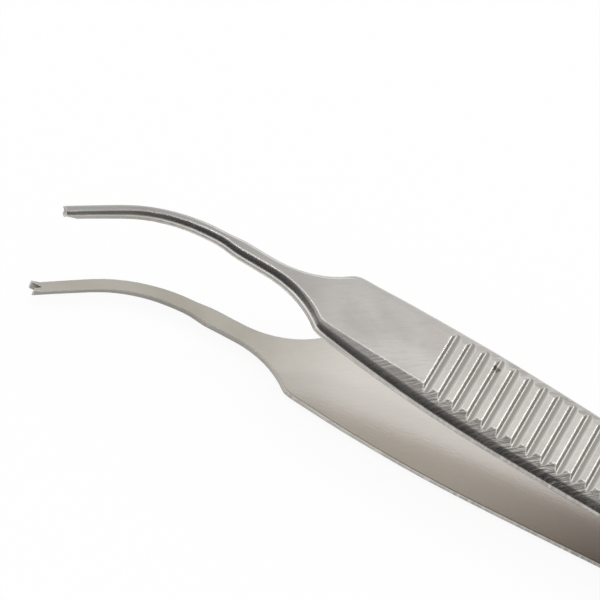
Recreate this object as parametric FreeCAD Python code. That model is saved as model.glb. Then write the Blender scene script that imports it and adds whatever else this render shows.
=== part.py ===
import FreeCAD, Part
import math
import os
from FreeCAD import Vector

os.makedirs("parts", exist_ok=True)

# Thumb forceps with curved, toothed jaws. Two spring steel blades lie mirrored about
# the plane Z = 0 and are welded face to face at the heel. While the blades are made,
# X runs from the jaw tips to the heel and Z points out of the upper blade's outer face.
# Lengths are in millimetres and angles in degrees.

# Length and spread of the blades, at their inner faces
total_length = 92.0
tip_gap = 8.0
shoulder_gap = 6.5
spread_angle = 2.87
shoulder_x = 19.0
spring_x = 60.0
weld_x = 78.0

# Thickness of each blade
tip_thickness = 0.52
body_thickness = 0.98
heel_thickness = 0.55
taper_x = 26.0

# Radii of the bends seen from the side
shoulder_bend = 120.0
taper_bend = 220.0
spring_bend = 250.0
weld_bend = 70.0

# Curved jaws, seen from above
tip_width = 0.89
root_width = 1.56
tip_run = 4.35
bend_radius = 11.0
bend_angle = 41.7

# Shoulder, where the jaws flare out to the body
low_corner_x = 19.05
low_corner_width = 3.02
low_flare_angle = 49.0
high_corner_x = 19.5
high_corner_width = 3.56
high_flare_angle = 53.0
low_corner_softness = 0.25
high_corner_softness = 0.5

# Half widths of the body, from the shoulder to the heel
grip_half_width = 4.25
grip_widest_x = 33.0
heel_taper_power = 1.25
heel_half_width = 2.42
heel_corner = 1.4

# Ground long edges: a flat side, a round, then a bevel up to the outer face. The bevel starts
# at nothing on the jaws and reaches its full height on the body. Angles are measured from the
# flat side.
tip_side = 0.34
shoulder_side = 0.42
body_side = 0.33
round_start_angle = 44.0
round_end_angle = 62.0
bevel_height = 0.27
bevel_from_x = 15.0
bevel_full_x = 27.0
bevel_angle = 73.0

# Grip grooves across the outer face, each a shallow round flute
groove_count = 24
groove_pitch = 1.2
groove_start_x = 27.85
groove_width = 0.72
groove_depth = 0.18

# Teeth at the tips: one on the upper blade, which drops between two on the lower
tooth_height = 0.15
tooth_length = 0.55
tooth_width = 0.34
tip_relief = 0.25
notch_clearance = 0.14
notch_depth = 0.78
prong_rise = 0.22

# Stock ahead of the tips that is cut off square, stock over the outer face that is ground off,
# the depth to which pieces of one blade are set into each other, and a distance that reaches
# past every face of the tip
tip_stock = 0.4
face_stock = 0.06
overlap = 0.1
beyond = 2.0

spread = math.tan(math.radians(spread_angle))
bend = math.radians(bend_angle)
bend_x = tip_run * math.cos(bend) + bend_radius * math.sin(bend)
tip_y = -tip_run * math.sin(bend) - bend_radius * (1 - math.cos(bend))


def soft_path(points, radii):
    """Straight runs through the points, with an arc of its own radius at each inner point."""
    edges = []
    start = points[0]
    for corner, after, radius in zip(points[1:-1], points[2:], radii):
        into = (corner - start).normalize()
        out = (after - corner).normalize()
        half_turn = into.getAngle(out) / 2
        reach = radius * math.tan(half_turn)
        first = corner - into * reach
        last = corner + out * reach
        inward = (out - into).normalize()
        middle = corner + inward * (radius / math.cos(half_turn) - radius)
        edges.append(Part.LineSegment(start, first).toShape())
        edges.append(Part.Arc(first, middle, last).toShape())
        start = last
    edges.append(Part.LineSegment(start, points[-1]).toShape())
    return edges


def inner_height(x):
    """Height of the upper blade's inner face over the middle plane, before its bends are eased."""
    if x < shoulder_x:
        return tip_gap / 2 + (shoulder_gap - tip_gap) / 2 * x / shoulder_x
    spring_height = shoulder_gap / 2 - (spring_x - shoulder_x) * spread
    if x < spring_x:
        return shoulder_gap / 2 - (x - shoulder_x) * spread
    return max(0.0, spring_height * (weld_x - x) / (weld_x - spring_x))


def outer_height(x):
    """Height of the outer face, before its bends are eased."""
    if x < taper_x:
        tip = inner_height(0.0) + tip_thickness
        return tip + (inner_height(taper_x) + body_thickness - tip) * x / taper_x
    if x < spring_x:
        return inner_height(x) + body_thickness
    spring = inner_height(spring_x) + body_thickness
    return max(heel_thickness, spring + (heel_thickness - spring) * (x - spring_x) / (weld_x - spring_x))


def side_blank(width):
    """The blade seen from the side, drawn along its inner and outer faces."""
    inner = [Vector(x, 0, inner_height(x)) for x in (-beyond, shoulder_x, spring_x, weld_x, total_length)]
    outer = [Vector(x, 0, outer_height(x)) for x in (-beyond, taper_x, spring_x, weld_x, total_length)]
    edges = soft_path(inner, [shoulder_bend, spring_bend, weld_bend])
    edges.append(Part.LineSegment(inner[-1], outer[-1]).toShape())
    edges += soft_path(outer, [taper_bend, spring_bend, weld_bend])
    edges.append(Part.LineSegment(outer[0], inner[0]).toShape())
    face = Part.Face(Part.Wire(Part.__sortEdges__(edges)))
    face.translate(Vector(0, -width, 0))
    return face.extrude(Vector(0, 2 * width, 0))


def thickness(x):
    """Thickness of the blade, before its bends are eased."""
    return outer_height(x) - inner_height(x)


def part_way(x, start, end):
    """How far x is from start to end, from 0 to 1."""
    return min(1.0, max(0.0, (x - start) / (end - start)))


def ground_edge(corner, inward):
    """One long edge of a section that stands on a plan point: the start, middle and end of its
    round, then the end of its bevel, which runs on past the outer face."""
    x = corner.x
    share = thickness(x) / body_thickness if x > taper_x else 1.0
    if x < shoulder_x:
        side = tip_side + (shoulder_side - tip_side) * x / shoulder_x
    else:
        side = share * (shoulder_side + (body_side - shoulder_side) * part_way(x, shoulder_x, bevel_full_x))
    bevel = share * bevel_height * part_way(x, bevel_from_x, bevel_full_x)
    middle_angle = (round_start_angle + round_end_angle) / 2
    angles = [math.radians(a) for a in (round_start_angle, middle_angle, round_end_angle)]
    radius = (thickness(x) - side - bevel) / (math.sin(angles[2]) - math.sin(angles[0]))
    centre = corner + inward * (radius * math.cos(angles[0]))
    centre.z = inner_height(x) + side - radius * math.sin(angles[0])
    points = [centre - inward * (radius * math.cos(a)) + Vector(0, 0, radius * math.sin(a)) for a in angles]
    rise = bevel + face_stock
    points.append(points[2] + inward * (rise * math.tan(math.radians(bevel_angle))) + Vector(0, 0, rise))
    return points


def ground_section(low, high):
    """A section of the blade that stands on the plan line from low to high."""
    across = (high - low).normalize()
    near = ground_edge(low, across)
    far = ground_edge(high, across * -1)
    foot_low = low - Vector(0, 0, body_thickness)
    foot_high = high - Vector(0, 0, body_thickness)
    edges = [Part.LineSegment(foot_low, near[0]).toShape(), Part.Arc(*near[:3]).toShape()]
    edges += [Part.LineSegment(a, b).toShape() for a, b in (near[2:], (near[3], far[3]), far[:1:-1])]
    edges += [Part.Arc(*far[2::-1]).toShape(), Part.LineSegment(far[0], foot_high).toShape()]
    edges.append(Part.LineSegment(foot_high, foot_low).toShape())
    return Part.Wire(edges)


def flare(x, corner_x, corner_width, angle):
    """Half width of the jaw root where it opens to a shoulder corner, as one arc, and straight on."""
    turn = math.radians(angle)
    radius = (corner_width - root_width / 2) / (1 - math.cos(turn))
    run = x - (corner_x - radius * math.sin(turn))
    if run <= 0:
        return root_width / 2
    if x > corner_x:
        return corner_width + (x - corner_x) * math.tan(turn)
    return root_width / 2 + radius - math.sqrt(radius ** 2 - run ** 2)


def jaw_width(run):
    """Width of the jaw at a distance from its tip along its middle line."""
    length = tip_run + bend_radius * bend + (shoulder_x - bend_x) / 2
    return tip_width + (root_width - tip_width) * min(1.0, run / length) ** 2


def jaw_sections():
    """Sections from the tip, round the bend and out along the flare, crowded near the shoulder."""
    wires = []

    def on_middle_line(x, y, heading, run):
        across = Vector(-math.sin(heading), math.cos(heading), 0) * (jaw_width(run) / 2)
        middle = Vector(x, y, 0)
        wires.append(ground_section(middle - across, middle + across))

    tip_steps = 3
    for step in range(tip_steps):
        run = (tip_run + tip_stock) * step / tip_steps - tip_stock
        on_middle_line(run * math.cos(bend), tip_y + run * math.sin(bend), bend, run)
    bend_steps = 6
    for step in range(bend_steps + 1):
        left = bend * (1 - step / bend_steps)
        x = bend_x - bend_radius * math.sin(left)
        on_middle_line(x, -bend_radius * (1 - math.cos(left)), left, tip_run + bend_radius * (bend - left))
    flare_steps = 12
    crowding = 1.5
    for step in range(1, flare_steps + 1):
        share = 1 - (1 - step / flare_steps) ** crowding
        low_x = bend_x + (low_corner_x - bend_x) * share
        high_x = bend_x + (high_corner_x - bend_x) * share
        narrow = jaw_width(tip_run + bend_radius * bend + low_x - bend_x) / 2
        low = Vector(low_x, -max(narrow, low_half_width(low_x)), 0)
        high = Vector(high_x, max(narrow, high_half_width(high_x)), 0)
        wires.append(ground_section(low, high))
    return wires


def body_half_width(x, corner_x, corner_width):
    """Half width of the body: a shallow curve up from a shoulder corner, then a taper to the heel."""
    if x < grip_widest_x:
        left = (grip_widest_x - x) / (grip_widest_x - corner_x)
        return grip_half_width - (grip_half_width - corner_width) * left ** 2
    share = (x - grip_widest_x) / (total_length - grip_widest_x)
    return grip_half_width - (grip_half_width - heel_half_width) * share ** heel_taper_power


def soft_lower(a, b, softness):
    """The lower of two widths, with the corner between them rounded off."""
    share = part_way(b - a, -softness, softness)
    return b + (a - b) * share - softness * share * (1 - share)


def low_half_width(x):
    """Half width on the side that the jaws curve to."""
    body = body_half_width(x, low_corner_x, low_corner_width)
    jaw = flare(x, low_corner_x, low_corner_width, low_flare_angle)
    return soft_lower(jaw, body, low_corner_softness)


def high_half_width(x):
    """Half width on the other side."""
    body = body_half_width(x, high_corner_x, high_corner_width)
    jaw = flare(x, high_corner_x, high_corner_width, high_flare_angle)
    return soft_lower(jaw, body, high_corner_softness)


def body_sections():
    """Sections from the shoulder to the heel, crowded near the shoulder."""
    wires = []
    steps = 16
    crowding = 1.9
    for step in range(steps + 1):
        share = (step / steps) ** crowding
        low_x = low_corner_x + (total_length - low_corner_x) * share
        high_x = high_corner_x + (total_length - high_corner_x) * share
        low = Vector(low_x, -low_half_width(low_x), 0)
        high = Vector(high_x, high_half_width(high_x), 0)
        wires.append(ground_section(low, high))
    return wires


def tip_prism(corners, half_size, in_plan=False):
    """A prism at the tip. Corners are (distance back from the end, height over the inner face),
    or (distance back, offset across the jaw) where the prism is drawn in plan."""
    back = Vector(math.cos(bend), math.sin(bend), 0)
    across = Vector(-math.sin(bend), math.cos(bend), 0)
    up = Vector(0, 0, 1)
    tip = Vector(0, tip_y, inner_height(0.0))
    second, sweep = (across, up) if in_plan else (up, across)
    points = [tip + back * run + second * offset - sweep * half_size for run, offset in corners]
    return Part.Face(Part.makePolygon(points + points[:1])).extrude(sweep * (2 * half_size))


def tip_end():
    """What lies past the square end of the jaw."""
    return tip_prism([(0, -beyond), (0, beyond), (-beyond, beyond), (-beyond, -beyond)], beyond)


def heel_corners():
    """What lies outside the two rounded corners of the heel, seen from above."""
    round_x = total_length - heel_corner
    round_y = heel_half_width - heel_corner
    reach = heel_corner * math.sqrt(0.5)
    past = Vector(heel_corner, 0, 0)
    corners = []
    for side in (1, -1):
        start = Vector(total_length, side * round_y, 0)
        middle = Vector(round_x + reach, side * (round_y + reach), 0)
        end = Vector(round_x, side * heel_half_width, 0)
        out = Vector(0, side * heel_corner, 0)
        run = [end, end + out, end + out + past * 2, start + past, start]
        edges = [Part.Arc(start, middle, end).toShape()]
        edges += [Part.LineSegment(*ends).toShape() for ends in zip(run[:-1], run[1:])]
        corners.append(Part.Face(Part.Wire(edges)).extrude(Vector(0, 0, 2 * body_thickness)))
    return corners


def groove_cutters():
    """A half-round bar for each groove, square to the blade and set into its outer face."""
    along = Vector(1, 0, -spread).normalize()
    out = Vector(spread, 0, 1).normalize()
    radius = ((groove_width / 2) ** 2 + groove_depth ** 2) / (2 * groove_depth)
    reach = 2 * grip_half_width
    first = Vector(groove_start_x, -reach, outer_height(groove_start_x))
    bars = []
    for count in range(groove_count):
        centre = first + along * (count * groove_pitch) + out * (radius - groove_depth)
        start, bottom, end = centre - along * radius, centre - out * radius, centre + along * radius
        rim = [Part.Arc(start, bottom, end).toShape(), Part.LineSegment(end, start).toShape()]
        bars.append(Part.Face(Part.Wire(rim)).extrude(Vector(0, 2 * reach, 0)))
    return bars


def plain_blade():
    """The blade ground to its outline, with its long edges rounded and no teeth."""
    jaw = Part.makeLoft(jaw_sections(), True, False)
    body = Part.makeLoft(body_sections(), True, False)
    tall = jaw.fuse(body)
    blade = tall.common(side_blank(2 * grip_half_width)).cut(tip_end())
    return tall, blade.cut(heel_corners()).cut(groove_cutters()).removeSplitter()


def upper_tooth(blade):
    """Relieves the end of the jaw and leaves one tooth that points at the other blade."""
    relief_run = tooth_length + tip_relief
    relief = tip_prism([(relief_run, 0), (0, tip_relief), (-beyond, tip_relief), (-beyond, -beyond),
                        (relief_run, -beyond)], root_width)
    tooth_top = tip_relief + overlap
    tooth = tip_prism([(0, tooth_top), (tooth_length, tooth_top), (tooth_length, tip_relief / 2),
                       (0, -tooth_height)], tooth_width / 2)
    return blade.cut(relief).fuse(tooth).removeSplitter()


def lower_teeth(blade, tall):
    """Raises the end of the jaw towards the other blade and splits it with a notch."""
    notch_half = tooth_width / 2 + notch_clearance
    mouth_half = notch_half * (notch_depth + overlap) / notch_depth
    rise = tip_prism([(notch_depth, overlap), (0, overlap), (0, -prong_rise), (notch_depth, 0)], root_width)
    notch = tip_prism([(-overlap, -mouth_half), (notch_depth, 0), (-overlap, mouth_half)], beyond, True)
    return blade.fuse(tall.common(rise)).cut(notch).removeSplitter()


def laid_down(shape):
    """Turns the pair so that the lower blade's outer face lies flat, with its grip at the origin."""
    middle_x = groove_start_x + (groove_count // 2 - 0.5) * groove_pitch
    resting = shape.copy()
    resting.translate(Vector(-middle_x, 0, outer_height(middle_x)))
    resting.rotate(Vector(0, 0, 0), Vector(0, 1, 0), spread_angle)
    return resting


tall_blade, blade = plain_blade()
upper_blade = laid_down(upper_tooth(blade))
lower_blade = laid_down(lower_teeth(blade, tall_blade).mirror(Vector(0, 0, 0), Vector(0, 0, 1)))

for name, shape in (("upper_blade", upper_blade), ("lower_blade", lower_blade)):
    print(name, shape.isValid(), len(shape.Solids), round(shape.Volume, 3), shape.BoundBox)
    shape.exportStep(f"parts/{name}.step")
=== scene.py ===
import math

import bpy
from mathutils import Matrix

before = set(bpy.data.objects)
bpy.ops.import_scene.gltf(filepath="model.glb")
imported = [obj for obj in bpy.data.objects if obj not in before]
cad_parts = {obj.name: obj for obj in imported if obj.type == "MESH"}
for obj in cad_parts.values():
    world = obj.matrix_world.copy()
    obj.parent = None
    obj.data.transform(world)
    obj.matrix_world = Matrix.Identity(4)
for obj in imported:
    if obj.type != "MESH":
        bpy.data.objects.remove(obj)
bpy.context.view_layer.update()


# The two blades: strips of spring stainless steel, forged, ground to shape and
# welded flat together at the heel. The broad faces are brushed satin, the slender
# jaws are rougher and carry painted shade, and the long edges keep the slanted marks of the grinding wheel.

MILLIMETRE = 0.001


def linear(hex_colour):
    """An sRGB hex colour as the linear colour that a shader takes."""
    channels = [int(hex_colour[i:i + 2], 16) / 255 for i in (1, 3, 5)]
    return [c / 12.92 if c <= 0.04045 else ((c + 0.055) / 1.055) ** 2.4 for c in channels] + [1.0]


def add_node(tree, kind, links=(), **settings):
    """Adds a node and gives back its outputs. Settings are the node's properties.

    Links are what its sockets take, an output or a fixed value each, in the
    sockets' order or by the name or number of a socket.
    """
    node = tree.nodes.new("ShaderNode" + kind)
    for name, value in settings.items():
        setattr(node, name, value)
    for socket, source in (links.items() if isinstance(links, dict) else enumerate(links)):
        if isinstance(source, bpy.types.NodeSocket):
            tree.links.new(source, node.inputs[socket])
        else:
            node.inputs[socket].default_value = source
    return node.outputs


def new_material(name):
    """A material with an empty node tree."""
    material = bpy.data.materials.new(name)
    material.use_nodes = True
    material.node_tree.nodes.clear()
    return material


# Satin-brushed stainless steel: a soft grey sheen that blurs what it reflects.
satin = new_material("satin_stainless_steel")
tree = satin.node_tree
smooth = {"interpolation_type": "SMOOTHSTEP"}
coloured = {"data_type": "RGBA"}
place = add_node(tree, "TexCoord")["Object"]
spot = add_node(tree, "SeparateXYZ", [place])
along, up = spot["X"], spot["Z"]
facing = add_node(tree, "NewGeometry")["True Normal"]
tilt = add_node(tree, "SeparateXYZ", [facing])
facing_up = tilt["Z"]
sideways = add_node(tree, "Math", [tilt["Y"]], operation="ABSOLUTE")[0]
flat_to_edge = (0.12, 0.25)
on_edge = add_node(tree, "MapRange", [sideways, *flat_to_edge], **smooth)[0]

# Outside, the jaws are painted darker than the body, a painted shade, and the steel has faint clouds.
cloud_size = 4 * MILLIMETRE
jaw_to_body = (-36 * MILLIMETRE, -8 * MILLIMETRE)
cloud = add_node(tree, "TexNoise", {"Vector": place, "Scale": 1 / cloud_size, "Detail": 3.0})[0]
clouded = add_node(tree, "MapRange", [cloud, 0.35, 0.65], **smooth)[0]
on_body = add_node(tree, "MapRange", [along, *jaw_to_body], **smooth)[0]
# Painted shade: the jaws' darker colour stands in for the dimmer light they reflect.
jaw_colour_painted_shade = add_node(tree, "Mix", {0: clouded, 6: linear("#93908D"), 7: linear("#999794")}, **coloured)[2]
body_colour = add_node(tree, "Mix", {0: clouded, 6: linear("#BEB9B4"), 7: linear("#CAC7C2")}, **coloured)[2]
outside = add_node(tree, "Mix", {0: on_body, 6: jaw_colour_painted_shade, 7: body_colour}, **coloured)[2]

# Inside, the jaws are warmer and the shoulders brightest. Towards the heel the steel is painted browner and darker:
# a brown tint and painted shade where the blades close in. The inner faces lie on both sides of a plane midway
# between the blades.
middle_height = 3.104 * MILLIMETRE
middle_fall = 0.0505
inner_margin = 0.05 * MILLIMETRE
jaw_to_shoulder = (-28 * MILLIMETRE, -18 * MILLIMETRE)
shoulder_to_heel = (-12 * MILLIMETRE, 17 * MILLIMETRE)
fallen = add_node(tree, "Math", [along, middle_fall], operation="MULTIPLY")[0]
middle = add_node(tree, "Math", [middle_height, fallen], operation="SUBTRACT")[0]
under_middle = add_node(tree, "Math", [middle, up], operation="SUBTRACT")[0]
on_upper = add_node(tree, "MapRange", [under_middle, 0.0, -inner_margin], **smooth)[0]
inward = add_node(tree, "Math", [under_middle, facing_up], operation="MULTIPLY")[0]
on_inside = add_node(tree, "MapRange", [inward, 0.0, inner_margin], **smooth)[0]
jaw_inside = add_node(tree, "Mix", {0: clouded, 6: linear("#A49F95"), 7: linear("#ABA79E")}, **coloured)[2]
on_shoulder = add_node(tree, "MapRange", [along, *jaw_to_shoulder], **smooth)[0]
shoulder_inside = add_node(tree, "Mix", {0: on_shoulder, 6: jaw_inside, 7: linear("#CFCAC3")}, **coloured)[2]
# Painted shade between the blades, with a brown tint, growing towards the heel.
heel_tint_and_shade = add_node(tree, "MapRange", [along, *shoulder_to_heel], **smooth)[0]
inner_colour = add_node(tree, "Mix", {0: heel_tint_and_shade, 6: shoulder_inside, 7: linear("#807670")}, **coloured)[2]
polished = add_node(tree, "Mix", {0: on_inside, 6: outside, 7: inner_colour}, **coloured)[2]

# Wheel marks run slantwise over the ground edges, stronger towards the grip, and faint hairlines
# lie on the broad faces. Real ones are finer: they are drawn 0.16 mm apart so that they show.
wheel_slant = math.radians(-48)
mark_spacing = 0.16 * MILLIMETRE
mark_length = 9.0
bare_to_marked = (-22 * MILLIMETRE, -2 * MILLIMETRE)
slanted = add_node(tree, "Mapping", {"Vector": place, "Rotation": (0.0, 0.0, wheel_slant),
                                     "Scale": (1.0, mark_length, mark_length)}, vector_type="TEXTURE")[0]
marks = add_node(tree, "TexNoise", {"Vector": slanted, "Scale": 1 / mark_spacing, "Detail": 2.0, "Roughness": 0.6})[0]
mark_growth = add_node(tree, "MapRange", [along, *bare_to_marked, 0.06, 1.0], **smooth)[0]
mark_patches = add_node(tree, "MapRange", [cloud, 0.4, 0.6, 0.5, 1.0], **smooth)[0]
mark_strength = add_node(tree, "Math", [mark_growth, mark_patches], operation="MULTIPLY")[0]
edge_marks = add_node(tree, "Math", [on_edge, mark_strength], operation="MULTIPLY")[0]
face_depth = add_node(tree, "MapRange", [on_inside, 0.0, 1.0, 0.06, 0.02], **smooth)[0]
mark_depth = add_node(tree, "Math", [edge_marks, face_depth], operation="MAXIMUM")[0]
mark_relief = add_node(tree, "Math", [marks, mark_depth], operation="MULTIPLY")[0]
mark_shade = add_node(tree, "MapRange", [marks, 0.35, 0.6], **smooth)[0]
hatched = add_node(tree, "Math", [edge_marks, mark_shade], operation="MULTIPLY")[0]
face_shade = add_node(tree, "MapRange", [on_inside, 0.0, 1.0, 0.12, 0.04], **smooth)[0]
face_lines = add_node(tree, "MapRange", [marks, 0.4, 0.7, 0.0, face_shade], **smooth)[0]
hairlines = add_node(tree, "Math", [hatched, face_lines], operation="MAXIMUM")[0]
wheel_tone = add_node(tree, "Mix", {0: hairlines, 6: polished, 7: linear("#94918C")}, **coloured)[2]

# The sharp edges are broken by a fine round, and the brushing leaves a fine grain.
grain_size = 0.2 * MILLIMETRE
jaw_rounds = (0.10 * MILLIMETRE, 0.22 * MILLIMETRE)
body_round = 0.18 * MILLIMETRE
grain = add_node(tree, "TexNoise", {"Vector": place, "Scale": 1 / grain_size, "Detail": 2.0})[0]
jaw_round = add_node(tree, "MapRange", [on_upper, 0.0, 1.0, *jaw_rounds], **smooth)[0]
broken_edge = add_node(tree, "MapRange", [on_body, 0.0, 1.0, jaw_round, body_round], **smooth)[0]
rounded = add_node(tree, "Bevel", {"Radius": broken_edge}, samples=8)[0]
grained = add_node(tree, "Bump", {"Height": grain, "Normal": rounded, "Strength": 0.03, "Distance": grain_size})[0]
marked = add_node(tree, "Bump", {"Height": mark_relief, "Normal": grained, "Strength": 0.5,
                                 "Distance": mark_spacing})[0]

# The grooves are painted darker, a painted shade in the recesses, which starts just under the ribs' flat tops.
flat_height = 6.212 * MILLIMETRE
flat_fall = math.tan(math.radians(5.74))
groove_wall = (0.07 * MILLIMETRE, 0.18 * MILLIMETRE)
groove_floor = (0.30 * MILLIMETRE, 0.25 * MILLIMETRE)
grip_start = (-14.2 * MILLIMETRE, -14.0 * MILLIMETRE)
grip_end = (14.8 * MILLIMETRE, 14.6 * MILLIMETRE)
flat_drop = add_node(tree, "Math", [along, flat_fall], operation="MULTIPLY")[0]
flat_top = add_node(tree, "Math", [flat_height, flat_drop], operation="SUBTRACT")[0]
under_upper = add_node(tree, "Math", [flat_top, up], operation="SUBTRACT")[0]
sunk = add_node(tree, "Math", [under_upper, up], operation="MINIMUM")[0]
groove_shade = add_node(tree, "Math", [1.0, on_edge], operation="SUBTRACT")[0]
for measure, limits in ((sunk, groove_wall), (sunk, groove_floor), (along, grip_start), (along, grip_end)):
    within = add_node(tree, "MapRange", [measure, *limits], **smooth)[0]
    groove_shade = add_node(tree, "Math", [groove_shade, within], operation="MULTIPLY")[0]
# Painted shade: the grooves' darker colour.
groove_shaded = add_node(tree, "Mix", {0: groove_shade, 6: wheel_tone, 7: linear("#94918C")}, **coloured)[2]

# The sharp edges are painted lighter, a painted highlight, most on the upper jaw's root. How far the
# rounded normal has turned from the face's own tells how near an edge is.
root_start = (-38 * MILLIMETRE, -31 * MILLIMETRE)
root_end = (-19 * MILLIMETRE, -23 * MILLIMETRE)
turned = add_node(tree, "VectorMath", [rounded, facing], operation="DOT_PRODUCT")["Value"]
by_root = on_upper
for limits in (root_start, root_end):
    within = add_node(tree, "MapRange", [along, *limits], **smooth)[0]
    by_root = add_node(tree, "Math", [by_root, within], operation="MULTIPLY")[0]
rim_start = add_node(tree, "MapRange", [by_root, 0.0, 1.0, 0.995, 0.999], **smooth)[0]
rim_full = add_node(tree, "MapRange", [by_root, 0.0, 1.0, 0.93, 0.985], **smooth)[0]
rim_strength = add_node(tree, "MapRange", [by_root, 0.0, 1.0, 0.55, 1.0], **smooth)[0]
rim = add_node(tree, "MapRange", [turned, rim_start, rim_full], **smooth)[0]
edge_highlight = add_node(tree, "Math", [rim, rim_strength], operation="MULTIPLY")[0]
# Painted highlight: the near-white colour on the edges.
edge_highlighted = add_node(tree, "Mix", {0: edge_highlight, 6: groove_shaded, 7: linear("#EFEDE8")}, **coloured)[2]

# One dark speck of stain with a ragged outline sits in the upper blade's fourth groove.
speck_place = [side * MILLIMETRE for side in (-9.94, 2.36, 7.21)]
speck_reach = 0.42 * MILLIMETRE
off_speck = add_node(tree, "VectorMath", [place, speck_place], operation="DISTANCE")["Value"]
raggedness = add_node(tree, "MapRange", [grain, 0.35, 0.65, 0.8, 1.3], **smooth)[0]
ragged = add_node(tree, "Math", [off_speck, raggedness], operation="MULTIPLY")[0]
speck = add_node(tree, "MapRange", [ragged, speck_reach, speck_reach / 2], **smooth)[0]
stained = add_node(tree, "Mix", {0: speck, 6: edge_highlighted, 7: linear("#625E56")}, **coloured)[2]

# The jaws are a little rougher than the body, and the edges with the painted highlight are smoother.
jaw_and_body_roughness = (0.28, 0.22)
roughness = add_node(tree, "MapRange", [on_body, 0.0, 1.0, *jaw_and_body_roughness], **smooth)[0]
smoothed = add_node(tree, "Math", [edge_highlight, 0.14], operation="MULTIPLY")[0]
dullness = add_node(tree, "Math", [roughness, smoothed], operation="SUBTRACT")[0]
steel = add_node(tree, "BsdfPrincipled", {"Base Color": stained, "Metallic": 1.0, "Roughness": dullness,
                                          "Normal": marked})[0]
add_node(tree, "OutputMaterial", {"Surface": steel})

for name in ("upper_blade", "lower_blade"):
    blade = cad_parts[name]
    blade.data.materials.clear()
    blade.data.materials.append(satin)


# The table: a board of matt white paper, flat under the blades. It shows white to
# the camera and pale in the steel, and keeps the soft shadow under the blades.

board_size = 3.0
half = board_size / 2
board_mesh = bpy.data.meshes.new("white_board")
board_mesh.from_pydata([(-half, -half, 0), (half, -half, 0), (half, half, 0), (-half, half, 0)], [], [(0, 1, 2, 3)])
board = bpy.data.objects.new("white_board", board_mesh)
bpy.context.collection.objects.link(board)

# Matt white paper: no sheen of its own, lit evenly by the white room.
camera_glow = 0.92
steel_glow = 0.55
matt = new_material("matt_white_board")
tree = matt.node_tree
ray = add_node(tree, "LightPath")
mirrored = add_node(tree, "Math", [ray["Is Glossy Ray"], ray["Is Transmission Ray"]], operation="MAXIMUM")[0]
in_steel = add_node(tree, "Math", [mirrored, steel_glow], operation="MULTIPLY")[0]
in_camera = add_node(tree, "Math", [ray["Is Camera Ray"], camera_glow], operation="MULTIPLY")[0]
glow = add_node(tree, "Math", [in_steel, in_camera], operation="MAXIMUM")[0]
paper = add_node(tree, "BsdfDiffuse", {"Color": linear("#F0F0EE")})[0]
white = add_node(tree, "Emission", {"Color": linear("#FFFFFF"), "Strength": 1.0})[0]
surface = add_node(tree, "MixShader", [glow, paper, white])[0]
add_node(tree, "OutputMaterial", {"Surface": surface})
board_mesh.materials.append(matt)


# The studio: a white room, a curved sheet of paper on the near side that draws the
# dark line along the rounded edges, low grey cards left and right that darken the
# walls of the grooves, and two soft boxes beyond the blades for the bright rims.

world = bpy.data.worlds.new("white_room")
bpy.context.scene.world = world
world.use_nodes = True
tree = world.node_tree
tree.nodes.clear()
air = add_node(tree, "Background", {"Color": linear("#FFFFFF"), "Strength": 1.0})[0]
add_node(tree, "OutputWorld", {"Surface": air})


def paper_sheet(name, rows, material):
    """A sheet through rows of two points, which only the steel's reflections show."""
    mesh = bpy.data.meshes.new(name)
    faces = [(i, i + 1, i + 3, i + 2) for i in range(0, 2 * len(rows) - 2, 2)]
    mesh.from_pydata([point for row in rows for point in row], [], faces)
    mesh.materials.append(material)
    sheet = bpy.data.objects.new(name, mesh)
    bpy.context.collection.objects.link(sheet)
    sheet.visible_camera = False
    sheet.visible_diffuse = False
    sheet.visible_shadow = False


# The sheet's paper is shaded from pale at its foot to nearly black and back to white
# beyond the top. Each tone stands at its share of the way up the curve.
sheet_from, sheet_to, sheet_step = 6, 120, 6
tones = ((0.2, "#CECECE"), (0.27, "#A2A2A2"), (0.33, "#555555"), (0.38, "#383838"), (0.45, "#3F3F3F"),
         (0.51, "#5D5D5D"), (0.58, "#7C7C7C"), (0.65, "#909090"), (0.75, "#9E9E9E"), (0.83, "#ADADAD"),
         (0.88, "#E1E1E1"), (0.92, "#F9F9F9"))
shaded = new_material("dark_to_grey_paper")
tree = shaded.node_tree
side = add_node(tree, "SeparateXYZ", [add_node(tree, "TexCoord")["Object"]])
nearness = add_node(tree, "Math", [side["Y"], -1.0], operation="MULTIPLY")[0]
rise = add_node(tree, "Math", [side["Z"], nearness], operation="ARCTAN2")[0]
height = add_node(tree, "Math", [rise, math.radians(sheet_to)], operation="DIVIDE")[0]
fade = add_node(tree, "ValToRGB", [height])[0]
stops = fade.node.color_ramp.elements
stops[0].color = linear("#E7E7E7")
stops[1].color = linear("#FFFFFF")
for position, tone in tones:
    stops.new(position).color = linear(tone)
sheen = add_node(tree, "Emission", {"Color": fade, "Strength": 1.0})[0]
add_node(tree, "OutputMaterial", {"Surface": sheen})

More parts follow.
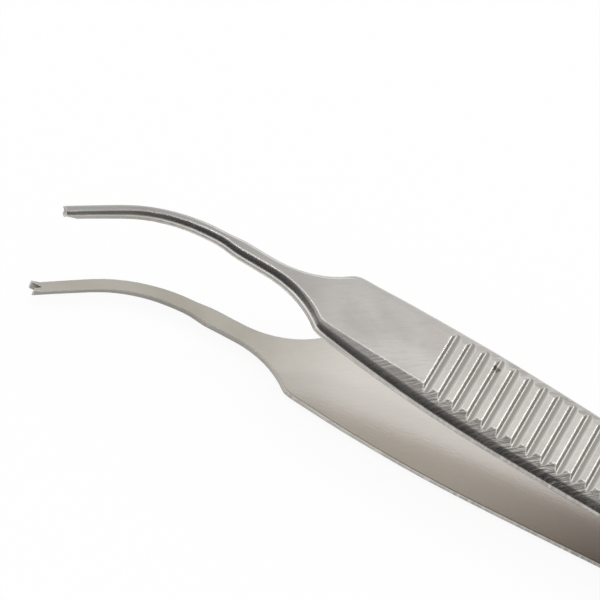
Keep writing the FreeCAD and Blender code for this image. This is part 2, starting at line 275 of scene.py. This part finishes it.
# The sheet is narrow at its foot and widens on its way over the blades.
sheet_radius = 0.6
sheet_foot = (-0.32, 0.32)
sheet_top = (-1.2, 1.3)
widens_from, widens_over = 48, 36
rows = []
for degrees in range(sheet_from, sheet_to + 1, sheet_step):
    turn = math.radians(degrees)
    y, z = -sheet_radius * math.cos(turn), sheet_radius * math.sin(turn)
    widening = min(max((degrees - widens_from) / widens_over, 0.0), 1.0)
    rows.append([(foot + (top - foot) * widening, y, z) for foot, top in zip(sheet_foot, sheet_top)])
paper_sheet("dark_paper", rows, shaded)

# Each card is a low upright arc of plain grey board, from one bearing in degrees to another.
card_radius = 0.5
card_step = 10
cards = (("right_card", -10, 60, 0.26), ("left_card", 140, 190, 0.12))
grey = new_material("grey_card")
tree = grey.node_tree
low_glow = add_node(tree, "Emission", {"Color": linear("#A3A29F"), "Strength": 1.0})[0]
add_node(tree, "OutputMaterial", {"Surface": low_glow})
for name, start, end, card_height in cards:
    rows = []
    for degrees in range(start, end + 1, card_step):
        turn = math.radians(degrees)
        x, y = card_radius * math.cos(turn), card_radius * math.sin(turn)
        rows.append([(x, y, 0.0), (x, y, card_height)])
    paper_sheet(name, rows, grey)

# Each soft box is a lit pane that faces the grip: its place, width, depth and power in watts.
soft_boxes = (("strip_soft_box", (-0.15, 0.30, 0.66), 0.6, 0.05, 0.5),
              ("right_soft_box", (0.26, 0.50, 0.45), 0.12, 0.12, 0.18))
for name, location, width, depth, power in soft_boxes:
    lamp = bpy.data.lights.new(name, "AREA")
    lamp.shape = "RECTANGLE"
    lamp.size = width
    lamp.size_y = depth
    lamp.energy = power
    soft_box = bpy.data.objects.new(name, lamp)
    bpy.context.collection.objects.link(soft_box)
    soft_box.location = location
    soft_box.rotation_euler = (-soft_box.location).to_track_quat("-Z", "Y").to_euler()


# The camera: a long lens that stands over the near side of the jaws, as in the
# photograph, and leaves the heel out of the picture on the right.

lens = bpy.data.cameras.new("camera")
lens.sensor_width = 36.0
lens.lens = 340.8
lens.clip_start = 0.05
lens.clip_end = 10.0
camera = bpy.data.objects.new("camera", lens)
bpy.context.collection.objects.link(camera)
camera.location = [side * MILLIMETRE for side in (12.6554, -280.9025, 286.9288)]
camera.rotation_euler = [math.radians(turn) for turn in (43.1483, -15.4213, 23.3520)]
bpy.context.scene.camera = camera
bpy.context.scene.view_settings.view_transform = "Standard"
